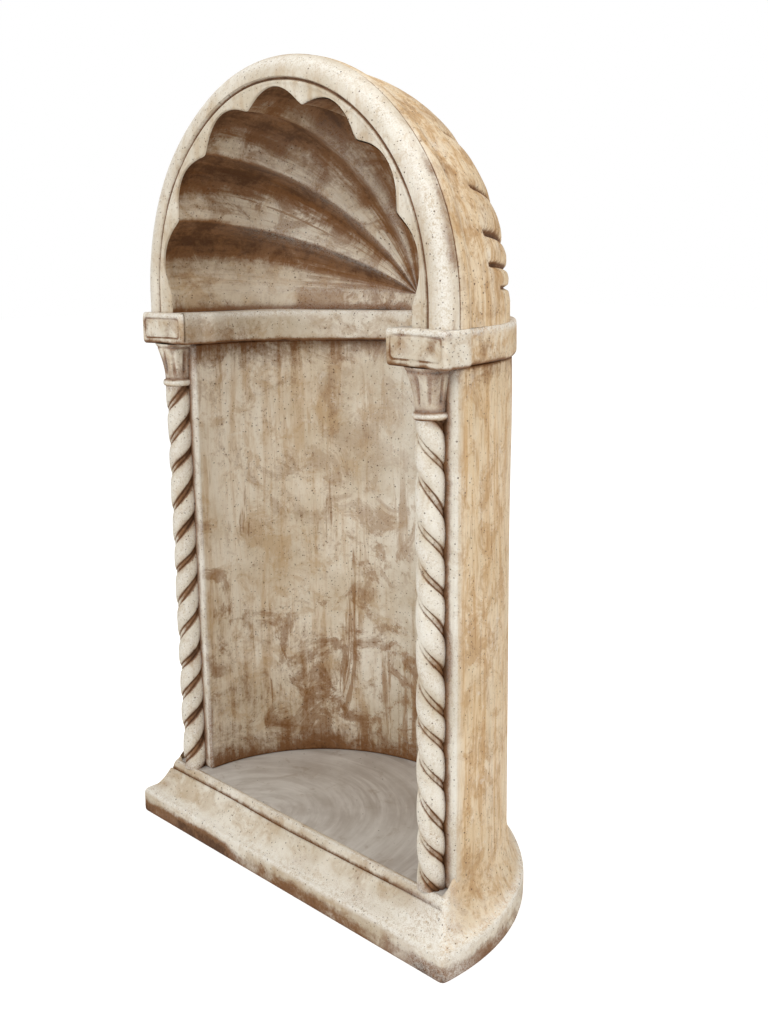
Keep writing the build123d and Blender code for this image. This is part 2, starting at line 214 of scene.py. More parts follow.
def flute_wave(turn):
    """One at the middle of each flute and zero on the ribs, with softened ribs."""
    soft = 0.012
    wave = np.sqrt(np.sin(sizes().flutes * turn) ** 2 + soft)
    return (wave - math.sqrt(soft)) / (math.sqrt(1 + soft) - math.sqrt(soft))


def arch_path(count, legs):
    """Angles of a stilted half circle, with the drop below the springing at both ends."""
    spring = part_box("shell_gore_1")[0][2]
    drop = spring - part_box("band_rear")[1][2]
    turn = np.concatenate([np.zeros(legs), np.linspace(0, np.pi, count), np.full(legs, np.pi)])
    fall = np.concatenate([np.linspace(drop, 0, legs, endpoint=False), np.zeros(count),
                           np.linspace(0, drop, legs + 1)[1:]])
    return turn[:, None], fall[:, None], spring


def turned(turn, fall, spring, radius, depth):
    """Points at a radius and depth, turned about the springing axis and dropped on the legs."""
    return np.stack([radius * np.cos(turn), depth + 0 * turn, spring + radius * np.sin(turn) - fall], -1)


def upward(points):
    """The height part of the grid's unit normals."""
    along = np.gradient(points, axis=0)
    across = np.gradient(points, axis=1)
    normal = np.cross(along, across)
    return normal[..., 2] / np.maximum(np.linalg.norm(normal, axis=-1), 1e-12)


def round_axis(centre, radius, around, height):
    """Points at a radius round an upright axis."""
    return np.stack([centre[0] + radius * np.cos(around), centre[1] + radius * np.sin(around),
                     height + 0 * around], -1)


class NicheOperator(bpy.types.Operator):
    """Shared options of the niche's operators."""

    bl_options = {"REGISTER", "UNDO"}


class NICHE_OT_conch(NicheOperator):
    """The shell's hollow: a fluted quarter ellipsoid whose meridians meet at the hinge.

    Radius is the rib radius plus the flute wave, times the cosine of the way back; depth is its sine.
    """

    bl_idname = "niche.conch"
    bl_label = "Shell hollow"

    def execute(self, context):
        s = sizes()
        unevenness = 1.2 * MM
        foot_height = 7 * MM
        turn, fall, spring = arch_path(s.flutes * 56 + 1, 6)
        way = np.linspace(0, 1, 96)[None, :]
        wave = flute_wave(turn)
        fuller = 0.25 * smooth(way, 0, 0.06) + 0.35 * np.sin(np.pi * np.minimum(way * 1.25, 1))
        shrink = np.cos(way * np.pi / 2)
        radius = shrink * (s.rib_radius + s.flute_depth * (1 + fuller) * wave)
        depth = s.shell_front + (s.shell_back - s.shell_front) * np.sin(way * np.pi / 2)
        even = turned(turn, fall, spring, radius, depth)
        points = turned(turn, fall, spring, radius + lumps(even, 40, 3) * unevenness * shrink, depth)
        # Painted shade: the flute sides that face down are made darker.
        down = np.clip(-upward(points), 0, 1)
        # Painted light by side: the lit side of each flute is made lighter (painted highlight) and the shaded
        # side darker (painted shade).
        painted_flute_light = np.clip(np.gradient(wave[:, 0]) * np.cos(turn[:, 0]) * 20, -1, 1)[:, None]
        lit, shaded = np.clip(painted_flute_light, 0, 1), np.clip(-painted_flute_light, 0, 1)
        # Just behind the rim: brown stain plus painted shade in the undercut.
        rim = 1 - smooth(way, 0.05, 0.5)
        foot = bump(points[..., 2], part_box("band_rear")[1][2], foot_height)
        strip = 1 - smooth(np.sin(turn) - 40 * fall, -0.02, 0.06)
        low_side = smooth(0.62 - np.sin(turn), 0, 0.35) * (0.6 + 0.4 * np.cos(turn))
        low_back = smooth(way, 0.35, 0.8) * smooth(0.55 - np.sin(turn), 0, 0.4)
        stain = 0.5 + 0.4 * down * (0.4 + 0.6 * wave) + 0.5 * rim * wave * (0.3 + 0.7 * down)
        stain = stain + 0.4 * bump(way, 1, 0.1) + 0.4 * shaded - 0.3 * lit
        stain = np.clip(stain + 0.6 * foot + 0.34 * low_side + 0.22 * low_back, 0, 1)
        stain = stain * (1 - strip) + strip * (0.4 + 0.6 * foot)
        # Pale worn ribs, plus a painted highlight on the lit flute sides.
        wear = np.clip((1 - wave) ** 2 * 0.4 + 0.2 * lit, 0, 1) * smooth(way, 0.1, 0.5) * (1 - 0.5 * strip)
        # The brush runs along the flutes
        grain = np.stack([turn * 0.24 + 0 * way, way * 0.03 + 0 * turn, 0 * turn + 0 * way], -1)
        piece = grid_piece("shell_hollow", points, flip=True, grain=grain,
                           stain=stain, wear=wear, tan=0.3, smear=1.0)
        finish_piece(piece, SHELL)
        return {"FINISHED"}


def roll_profile():
    """The arch's face: its points joined by straight runs, then rounded by a weighted moving mean."""
    across, ahead = np.array(ROLL_POINTS).T * MM
    steps = np.arange(len(across))
    fine = np.linspace(0, len(across) - 1, 4 * len(across) - 3)
    profile = np.stack([np.interp(fine, steps, across), np.interp(fine, steps, ahead)])
    weights = np.array([1, 2, 3, 2, 1]) / 9
    for line in profile:
        line[2:-2] = np.convolve(line, weights, "valid")
    return profile


def dome_slots(turn, radius, depth):
    """Share of a slot's depth, and the distance from the nearest slot.

    The share is a bell across each slot, which fades in and out along it. Each slot lies at its angle above
    the springing on both sides.
    """
    fade_in = 7 * MM
    fade_out = (170 * MM, 235 * MM)
    groove, nearest = 0, np.ones(np.broadcast(turn, radius).shape)
    for degrees, half, start in SLOTS:
        run = smooth(depth, start * MM, start * MM + fade_in) * (1 - smooth(depth, *fade_out))
        for place in (math.radians(degrees), math.pi - math.radians(degrees)):
            gap = np.abs(turn - place) * radius
            groove = np.maximum(groove, run * bump(gap, 0, half * MM))
            nearest = np.minimum(nearest, gap)
    return groove, nearest


class NICHE_OT_head(NicheOperator):
    """The arch and dome: one meridian profile from the scalloped rim over the roll to the back.

    The profile is carried round a stilted half circle, and lobes and slots vary it with the angle. The dome's
    radius follows the cosine and its depth the sine of the way back.
    """

    bl_idname = "niche.head"
    bl_label = "Arch and dome"

    def execute(self, context):
        s = sizes()
        rim_depth = np.array([3.6, 1.5, 0.6, 0.3, 0.2, 0.3])[None, :] * MM
        rim_shares = np.array([0, 0.06, 0.16, 0.3, 0.5, 0.75])[None, :]
        wear_leg, wear_crown = 1.5 * MM, 6 * MM
        lobe_rise = 2.5 * MM
        unevenness = 1.0 * MM
        dome_rows = 72
        turn, fall, spring = arch_path(s.flutes * 70 + 1, 6)
        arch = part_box("arch_crown")[1][2] - spring
        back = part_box("shell_hinge")[1][1] - s.dome_start
        edge = s.rib_radius + s.flute_depth * flute_wave(turn)
        offset, ahead = roll_profile()
        rim_radius = edge + (s.rim_radius + offset[0] - edge) * rim_shares
        roll_radius = arch - s.roll_width + offset
        first = math.asin((ahead[-1] - s.dome_start) / back)
        way = np.linspace(0, np.pi / 2, dome_rows + 1)[None, 1:]
        climb = first + (np.pi / 2 - first) * np.sin(way)
        dome_depth = s.dome_start + back * np.sin(climb)
        plain = roll_radius[-1] / math.cos(first) * np.cos(climb)
        groove, nearest = dome_slots(turn, plain, dome_depth)
        lobe = smooth(dome_depth, 70 * MM, 100 * MM) * lobe_rise * (smooth(nearest, 0, 20 * MM) - 1)
        clear_of_pole = smooth(plain, 20 * MM, 60 * MM)
        dome_radius = plain + clear_of_pole * (lobe - s.slot_depth * groove)
        ease = wear_leg + wear_crown * np.sin(turn) ** 2
        eased_roll = roll_radius - ease * smooth(offset, 2 * MM, 12 * MM)
        eased_dome = dome_radius - ease * (1 - smooth(dome_depth, 43 * MM, 120 * MM))
        radius = np.hstack([rim_radius, eased_roll, eased_dome])
        depth = np.hstack([rim_depth + 0 * turn, ahead + 0 * turn, dome_depth + 0 * turn])
        even = turned(turn, fall, spring, radius, depth)
        swell = lumps(even, 28, 5) * unevenness * smooth(radius, 20 * MM, 200 * MM)
        points = turned(turn, fall, spring, radius + swell, depth)
        incised = np.clip(ahead / (2.6 * MM), 0, 1) * (np.abs(offset - 0.9 * MM) < 2.6 * MM)
        joint = bump(offset, 34.2 * MM, 0.8 * MM) * bump(ahead, 17 * MM, 1.5 * MM)
        line = np.hstack([np.zeros(rim_shares.size), incised + 0.75 * joint, np.zeros(dome_rows)])
        dome = smooth(depth, 13 * MM, 26 * MM)
        flank = bump(radius, arch - 2 * MM, 5 * MM) * smooth(22 * MM - depth, 0, 12 * MM)
        stain = np.clip(line, 0, 1) + 0.12 * dome
        stain[:, -dome_rows:] += groove * 1.1
        stain = stain + 0.5 * flank * np.clip(0.6 + 0.6 * lumps(points, 55, 9), 0, 1)
        stain = stain + 0.13 * (1 - dome) * np.clip(0.5 + lumps(points, 45, 12), 0, 1)
        # Painted highlight: a pale band along the middle of the roll.
        wear = bump(depth, 2 * MM, 8 * MM) * bump(radius, arch - 12 * MM, 14 * MM)
        piece = grid_piece("arch_and_dome", points, stain=np.clip(stain, 0, 1), wear=np.clip(wear, 0, 1),
                           tan=0.1 + 0.75 * dome, smear=0.15 + 0.35 * dome)
        finish_piece(piece, ARCH)
        return {"FINISHED"}


def strand_section(turn):
    """The shaft's section: two round strands, each beside a narrow fillet between incised lines."""
    place = (turn / np.pi) % 1.0
    lobe_share = 0.8
    across = place / lobe_share
    lobe = np.where(across < 1, np.sqrt(np.clip(1 - (2 * across - 1) ** 2, 0, 1)), 0)
    fillet = np.where(across >= 1, np.sin(np.pi * np.clip((place - lobe_share) / (1 - lobe_share), 0, 1)), 0)
    line = bump(place, lobe_share, 0.022) + bump(place, 0.0, 0.022) + bump(place, 1.0, 0.022)
    return lobe, fillet, np.clip(line, 0, 1)


class NICHE_OT_columns(NicheOperator):
    """The twisted shafts: a section with two strands, turned in proportion to the height.

    The left shaft is the mirror of the right one, with its own unevenness.
    """

    bl_idname = "niche.columns"
    bl_label = "Twisted columns"

    def execute(self, context):
        lead = sizes().column_lead
        unevenness = 0.35 * MM
        foot_height, head_height = 14 * MM, 10 * MM
        for side, sign in SIDES:
            low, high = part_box(side + "_column_shaft")
            centre = (low + high) / 2
            outer = (high[0] - low[0]) / 2
            around = np.linspace(0, 2 * np.pi, 96, endpoint=False)[None, :]
            height = np.linspace(low[2], high[2], 460)[:, None]
            uneven = 0.16 * np.sin(height * 37 + 2 * sign) + 0.1 * np.sin(height * 83 + sign)
            twist = 2 * np.pi * (height - low[2]) / lead + uneven
            lobe, fillet, line = strand_section(sign * around + twist)
            radius = outer * (0.76 + 0.24 * lobe ** 0.7 + 0.08 * fillet - 0.06 * line)
            even = round_axis(centre, radius, around, height)
            points = round_axis(centre, radius + lumps(even, 110, 7 + sign) * unevenness, around, height)
            foot = bump(height, low[2], foot_height) + bump(height, high[2], head_height)
            # Painted shade: darker on the side of each shaft turned away from the key light, more so on the
            # left shaft.
            shade = 0.5 + 0.5 * np.cos(around - math.radians(20))
            dark = 0.75 - 0.2 * sign
            stain = (dark - 0.1) * line ** 0.7 + (0.08 + dark * shade) * (1 - lobe) + 0.5 * foot
            piece = grid_piece(side + "_twisted_column", points, flip=True, wrap_v=True,
                               stain=np.clip(stain, 0, 1), wear=0.8 * lobe ** 3, tan=0.05, smear=0.2)
            finish_piece(piece, [side + "_column_shaft"])
        return {"FINISHED"}


class NICHE_OT_capitals(NicheOperator):
    """The neck rings and bells: a turned profile that grows from round to square, with leaf slots.

    The radius is the profile's, raised by a superellipse share towards the top and cut by slots.
    """

    bl_idname = "niche.capitals"
    bl_label = "Capitals"

    def execute(self, context):
        ring_rows, bell_rows = 15, 48
        leaf_depth, shelf_depth = 1.8 * MM, 1.2 * MM
        unevenness = 0.4 * MM
        seam_height = 2.5 * MM
        for side, sign in SIDES:
            low, neck_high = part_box(side + "_column_neck")
            bell_low, bell_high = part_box(side + "_capital")
            centre = (bell_low + bell_high) / 2
            neck = (neck_high[0] - low[0]) / 2
            top = (bell_high[0] - bell_low[0]) / 2
            foot = neck * 0.84
            ring = np.linspace(-1, 1, ring_rows)
            ring_radius = foot + (neck - foot) * np.sqrt(np.clip(1 - ring ** 2, 0, 1))
            ring_height = (low[2] + neck_high[2]) / 2 + ring * (neck_high[2] - low[2]) / 2
            climb = np.linspace(0.02, 1, bell_rows)
            bell_radius = foot + (top - foot) * climb ** 2.1
            bell_height = bell_low[2] + climb * (bell_high[2] - bell_low[2])
            profile = np.concatenate([ring_radius, bell_radius])[:, None]
            height = np.concatenate([ring_height, bell_height])[:, None]
            up = np.concatenate([np.zeros(ring_rows), climb])[:, None]
            around = np.linspace(0, 2 * np.pi, 128, endpoint=False)[None, :]
            power = 2 + 5 * up ** 2
            square = (np.abs(np.cos(around)) ** power + np.abs(np.sin(around)) ** power) ** (-1 / power)
            leaf = np.clip(np.cos(8 * around + 0.4) - 0.25, 0, 1) / 0.75
            slot = leaf * smooth(up, 0.1, 0.28) * (1 - smooth(up, 0.7, 0.9))
            shelf = bump(up, 0.9, 0.035)
            radius = profile * (1 + (square - 1) * 0.85) - leaf_depth * slot - shelf_depth * shelf
            even = round_axis(centre, radius, around, height)
            points = round_axis(centre, radius + lumps(even, 120, 21 + sign) * unevenness, around, height)
            seam = bump(height, neck_high[2], seam_height) + bump(height, low[2], seam_height)
            patchy = 0.42 + 0.3 * lumps(points, 150, 61 + sign)
            stain = patchy + 0.45 * slot + 0.4 * shelf + 0.6 * seam - 0.4 * (up == 0)
            wear = np.concatenate([bump(ring, 0.2, 0.5), np.full(bell_rows, 0.25)])[:, None]
            piece = grid_piece(side + "_bell", points, flip=True, wrap_v=True,
                               stain=np.clip(stain, 0, 1), wear=wear, tan=0.15, smear=0.3)
            finish_piece(piece, [side + "_capital", side + "_column_neck"])
        return {"FINISHED"}


def rounded_section(width, low, high, rounding, inset):
    """Loop of distances across and heights round a rectangle, drawn in by inset on every side.

    Each corner is a quarter circle, and straight runs of even steps join them.
    """
    quarter = np.linspace(0, np.pi / 2, 6)
    steps = np.linspace(0, 1, 16)[1:-1, None]
    near, far = inset, width - inset
    foot, top = low + inset, high - inset
    radius = min(rounding, min(far - near, top - foot) / 2.001)
    left, right = near + radius, far - radius
    lower, upper = foot + radius, top - radius
    arcs = []
    for number, centre in enumerate(((right, upper), (left, upper), (left, lower), (right, lower))):
        angle = quarter + number * np.pi / 2
        arcs.append(centre + radius * np.stack([np.cos(angle), np.sin(angle)], 1))
    loop = []
    for arc, following in zip(arcs, arcs[1:] + arcs[:1]):
        loop += [arc, arc[-1] + (following[0] - arc[-1]) * steps]
    return np.concatenate(loop)


def course_points(inner, outer, low, high, rounding, panel=None):
    """Grid of a course: rounded sections along the curves, closed by rings that draw in at both ends.

    A panel, given as the inset and half width of its line and its depth, is cut into both ends. The second
    array marks the rows of that line.
    """
    width = np.linalg.norm(outer - inner, axis=1)
    across = (outer - inner) / width[:, None]
    half = min(high - low, width[0]) / 2.0001
    rings = [(half * share, 0.0, 0.0) for share in (1.0, 0.8, 0.62, 0.5)]
    if panel:
        inset, wide, deep = panel
        for place, down in ((1.0, 0), (0.55, 0.8), (0, 1), (-0.55, 0.8), (-1.0, 0)):
            rings.append((inset + place * wide, -deep * down, down))
    for angle in np.linspace(0, np.pi / 2, 7):
        rings.append((rounding * (1 - math.sin(angle)), -rounding * (1 - math.cos(angle)), 0.0))

    def row(k, inset, ahead):
        """The section at one place of the curves, drawn in and moved along."""
        loop = rounded_section(width[k], low, high, rounding, inset)
        return np.column_stack([inner[k] + ahead + across[k] * loop[:, :1], loop[:, 1]])

    start = (inner[0] - inner[1]) / np.linalg.norm(inner[0] - inner[1])
    end = (inner[-1] - inner[-2]) / np.linalg.norm(inner[-1] - inner[-2])
    rows = [row(0, inset, start * ahead) for inset, ahead, _ in rings]
    rows += [row(k, 0.0, 0.0) for k in range(1, len(inner) - 1)]
    rows += [row(-1, inset, end * ahead) for inset, ahead, _ in reversed(rings)]
    ring_marks = [mark for _, _, mark in rings]
    return np.array(rows), np.concatenate([ring_marks, np.zeros(len(inner) - 2), ring_marks[::-1]])


def arc_points(centre_y, radius, start, end, count):
    """Points of a plan arc about the middle line, angles in degrees from the right."""
    angle = np.radians(np.linspace(start, end, count))
    return np.stack([radius * np.cos(angle), centre_y + radius * np.sin(angle)], 1)


def mirrored_path(right, middle):
    """A path up the right side, round the middle arc and down the left side."""
    left = right[::-1] * (-1, 1)
    return np.vstack([right, middle, left])


class NICHE_OT_wall(NicheOperator):
    """The half-round wall and jambs: rounded upright sections between the inner and outer plan curves.

    The inner curve is a half circle with short straight ends, the outer one a longer arc of a larger circle.
    """

    bl_idname = "niche.wall"
    bl_label = "Wall"

    def execute(self, context):
        s = sizes()
        unevenness = 1.2 * MM
        top_shadow_height, foot_height, gap_shade_width = 6 * MM, 16 * MM, 8 * MM
        end_rows, meet, count = 3, 12, 150
        low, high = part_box("right_jamb")
        front = low[1]
        outer_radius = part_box("floor_slab")[1][0]
        begin = math.degrees(math.asin((front - s.wall_centre) / outer_radius))
        straight = np.linspace(front, s.niche_centre, end_rows + 1)[:-1]
        inner_end = np.stack([np.full(end_rows, s.niche_radius), straight], 1)
        outer_end = arc_points(s.wall_centre, outer_radius, begin, meet, end_rows + 1)[:-1]
        inner = mirrored_path(inner_end, arc_points(s.niche_centre, s.niche_radius, 0, 180, count))
        outer = mirrored_path(outer_end, arc_points(s.wall_centre, outer_radius, meet, 180 - meet, count))
        points, _ = course_points(inner, outer, low[2], high[2], s.wall_rounding)
        radial = points[..., :2] - (0, s.wall_centre)
        reach = np.linalg.norm(radial, axis=-1, keepdims=True)
        outside = smooth(reach[..., 0], outer_radius - 6 * MM, outer_radius - 2 * MM)
        swell = np.abs(lumps(points, 16, 31)[..., None] * unevenness)
        points[..., :2] -= radial / np.maximum(reach, 1e-9) * swell
        across, back, height = np.moveaxis(points, -1, 0)
        inner_reach = np.hypot(across, back - s.niche_centre)
        inside = smooth(s.niche_radius + 4 * MM - inner_reach, 0, 3 * MM)
        jamb = smooth(front + 6 * MM - back, 0, 4 * MM)
        shaft_low, shaft_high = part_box("right_column_shaft")
        axis = (shaft_low + shaft_high) / 2
        shaft = (shaft_high[0] - shaft_low[0]) / 2
        beside = np.hypot(np.abs(across) - axis[0], back - axis[1])
        # Painted shade in the narrow gap between each column and its jamb.
        gap_shade = jamb * (1 - smooth(beside, shaft, shaft + gap_shade_width))
        left = smooth(-across, -0.02, 0.17)
        # Painted shadow: a dark line along the top of the wall, under the band.
        top = bump(height, high[2], top_shadow_height)
        foot = bump(height, low[2], foot_height) * inside
        # Darker inside the niche towards the bottom and towards the left.
        inner_darkening = inside * (0.1 + 0.2 * smooth(0.45 - height, 0, 0.3) + 0.08 * left)
        soiled = inside * (0.45 + 0.55 * smooth(0.58 - height, 0, 0.22))
        stain = 0.75 * top + 0.5 * foot + 0.2 * jamb + 0.9 * gap_shade + inner_darkening
        # Pale worn jamb edge, plus a painted highlight on the upper right of the inner wall.
        wear = 0.5 * jamb * (1 - gap_shade) + 0.35 * inside * (1 - left) * smooth(height, 0.3, 0.55)
        tan = np.clip(0.8 * outside + inside * (0.02 + 0.28 * left), 0, 1) * (1 - jamb)
        smear = np.clip(0.3 * outside + soiled, 0, 1) * (1 - 0.7 * jamb)
        piece = grid_piece("half_round_wall", points, flip=True, wrap_v=True,
                           stain=np.clip(stain, 0, 1), wear=wear, tan=tan, smear=smear)
        finish_piece(piece, WALLS)
        return {"FINISHED"}


class NICHE_OT_impost(NicheOperator):
    """The impost band with its end blocks: rounded sections, with a panel line cut into both fronts.

    Each block's straight sides run over into the band's inner and outer circles by a soft step.
    """

    bl_idname = "niche.impost"
    bl_label = "Impost band"

    def execute(self, context):
        s = sizes()
        unevenness = np.array([0.5, 0.3, 0.9]) * MM
        under_shadow_height, worn_height = 3.5 * MM, 5 * MM
        rows, meet, count = 14, 14, 150
        low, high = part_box("right_impost_block")
        front = low[1]
        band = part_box("band_rear")[1][1] - s.wall_centre
        inner_back = np.linspace(front, s.band_centre, rows)[:-1]
        ease = smooth(inner_back, front + 30 * MM, s.band_centre)
        inner_end = np.stack([s.block_inner + (s.band_radius - s.block_inner) * ease, inner_back], 1)
        outer_back = np.linspace(front, s.wall_centre + band * math.sin(math.radians(meet)), rows)[:-1]
        circle = np.sqrt(band ** 2 - (outer_back - s.wall_centre) ** 2)
        step = smooth(outer_back, front + 36 * MM, front + 52 * MM)
        outer_end = np.stack([high[0] * (1 - step) + circle * step, outer_back], 1)
        inner = mirrored_path(inner_end, arc_points(s.band_centre, s.band_radius, 0, 180, count))
        outer = mirrored_path(outer_end, arc_points(s.wall_centre, band, meet, 180 - meet, count))
        panel = (s.panel_inset, s.panel_line, s.panel_line)
        points, marks = course_points(inner, outer, low[2], high[2], s.band_rounding, panel)
        points = points + lumps(points, 45, 41)[..., None] * unevenness
        across, back, height = np.moveaxis(points, -1, 0)
        # Painted shadow: a dark line along the lower edge of the band.
        under_shadow = bump(height, low[2], under_shadow_height)
        face = smooth(front + 14 * MM - back, 0, 8 * MM)
        patchy = 0.16 + 0.13 * lumps(points, 70, 43) + face * (0.08 + 0.2 * lumps(points, 170, 44))
        stain = patchy + 0.4 * marks[:, None] + 0.8 * under_shadow
        wear = bump(height, high[2] - 3 * MM, worn_height)
        outside = smooth(np.hypot(across, back - s.wall_centre), band - 8 * MM, band - 2 * MM)
        outside = outside * smooth(back, front + 25 * MM, front + 60 * MM)
        piece = grid_piece("impost_band", points, flip=True, wrap_v=True, grain=points * 0.6,
                           stain=np.clip(stain, 0, 1), wear=wear, tan=0.1 + 0.5 * outside, smear=0.35)
        finish_piece(piece, COURSE)
        return {"FINISHED"}


def closed_mean(values, weights):
    """A weighted moving mean along a closed path, for each column."""
    half = len(weights) // 2
    wrapped = np.vstack([values[-half:], values, values[:half]])
    return np.stack([np.convolve(column, weights, "valid") for column in wrapped.T], 1)


class NICHE_OT_plinth(NicheOperator):
    """The plinth's mouldings: a profile of shares and heights ruled between two plan curves.

    The outer curve is the plinth's foot and the inner one the wall's. The front's profile has a lip and an
    incised line, the sides' a plain hollow, and they change over at the mitred corners. A hollow's height
    grows with a power of its share.
    """

    bl_idname = "niche.plinth"
    bl_label = "Plinth"

    def profiles(self, top):
        """Shares and heights of the front's profile and of the sides'."""
        drawn_top = 78.0
        hollow_rise = 33.0
        feather = np.array([1.5, 4, 8, 14])
        foot = np.array(FOOT_POINTS)
        lip = np.array(LIP_POINTS)
        edge_share, edge = foot[-1]
        hollow_end = 0.70
        hollow = np.linspace(edge_share, hollow_end, 22)[1:]
        front_rise = edge + hollow_rise * ((hollow - edge_share) / (hollow_end - edge_share)) ** 2
        side_share = np.concatenate([hollow, SLOPE_SHARES])
        side_rise = edge + (drawn_top - edge) * ((side_share - edge_share) / (1 - edge_share)) ** 1.9
        side_rise[-feather.size:] += feather
        scale = top / drawn_top
        front = [np.concatenate([foot[:, 0], hollow, lip[:, 0]]),
                 np.concatenate([foot[:, 1] * MM, front_rise * scale, lip[:, 1] * scale])]
        sides = [np.concatenate([foot[:, 0], side_share]),
                 np.concatenate([foot[:, 1] * MM, side_rise * scale])]
        return front, sides

    def execute(self, context):
        s = sizes()
        unevenness = 0.7 * MM
        edge_height, edge_width = 34 * MM, 5 * MM
        salt_place, salt_size = np.array([285, -12]) * MM, np.array([50, 30]) * MM
        around_count, front_count = 260, 190
        low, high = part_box("front_sill")
        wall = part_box("floor_slab")[1][0]
        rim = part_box("skirt_rear")[1][1] - s.rim_centre
        outer_start = math.degrees(math.asin((low[1] - s.rim_centre) / rim))
        inner_start = math.degrees(math.asin((high[1] - s.wall_centre) / wall))
        outer_arc = arc_points(s.rim_centre, rim, outer_start, 180 - outer_start, around_count)
        inner_arc = arc_points(s.wall_centre, wall, inner_start, 180 - inner_start, around_count)
        span = 1 - 2 * np.linspace(0, 1, front_count)
        outer_front = np.stack([outer_arc[-1, 0] * span, np.full(front_count, low[1])], 1)
        inner_front = np.stack([inner_arc[-1, 0] * span, np.full(front_count, high[1])], 1)
        outer = closed_mean(np.vstack([outer_arc[:-1], outer_front[:-1]]), np.array([1, 2, 3, 2, 1]) / 9)
        inner = np.vstack([inner_arc[:-1], inner_front[:-1]])
        on_front = np.concatenate([np.zeros(around_count - 1), np.ones(front_count - 1)])[:, None]
        front = closed_mean(on_front, np.ones(5) / 5)
        (front_share, front_rise), (side_share, side_rise) = self.profiles(high[2])
        share = front * front_share + (1 - front) * side_share
        rise = front * front_rise + (1 - front) * side_rise
        flat = outer[:, None, :] * (1 - share[..., None]) + inner[:, None, :] * share[..., None]
        even = np.concatenate([flat, rise[..., None]], -1)
        free = smooth(rise, 2 * MM, 12 * MM) * (1 - smooth(share, 0.85, 1.0))
        points = even + (lumps(even, 30, 51) * unevenness * free)[..., None]
        across, height = points[..., 0], points[..., 2]
        line = front * bump(share, 0.732, 0.027)
        low_face = smooth(30 * MM - height, 0, 17 * MM)
        corner_dark = bump(across, high[0], 50 * MM) * low_face
        lower = np.clip(low_face * (0.8 + 0.35 * lumps(points, 22, 53)) * (0.35 + 0.65 * front), 0, 1)
        brink = front * bump(share, 0.985, 0.02)
        stain = line + 0.95 * lower + 0.5 * corner_dark + 0.4 * brink
        salt = np.exp(-(((points[..., :2] - salt_place) / salt_size) ** 2).sum(-1))
        # Painted highlight: a pale streak along the middle of the front hollow, stronger to the right.
        gleam = 0.6 * front * bump(share, 0.42, 0.12) * smooth(across, -0.1, 0.2)
        wear = bump(height, edge_height, edge_width) + front * bump(share, 0.87, 0.05) + salt + gleam
        slope = 0.5 * smooth(share, 0.05, 0.2) + 0.2 * smooth(share, 0.8, 1.0)
        piece = grid_piece("plinth_moulding", points, wrap_u=True, grain=points * 0.5,
                           stain=np.clip(stain, 0, 1), wear=np.clip(wear, 0, 1),
                           tan=0.1 + (1 - front) * slope, smear=0.3)
        finish_piece(piece, ["front_sill"] + SKIRT)
        return {"FINISHED"}


class NICHE_OT_floor(NicheOperator):
    """Gives the floor slab its trowelled cement."""

    bl_idname = "niche.floor"
    bl_label = "Floor"

    def execute(self, context):
        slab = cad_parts["floor_slab"]
        slab.data.materials.clear()
        slab.data.materials.append(bpy.data.materials["trowelled_cement"])
        return {"FINISHED"}


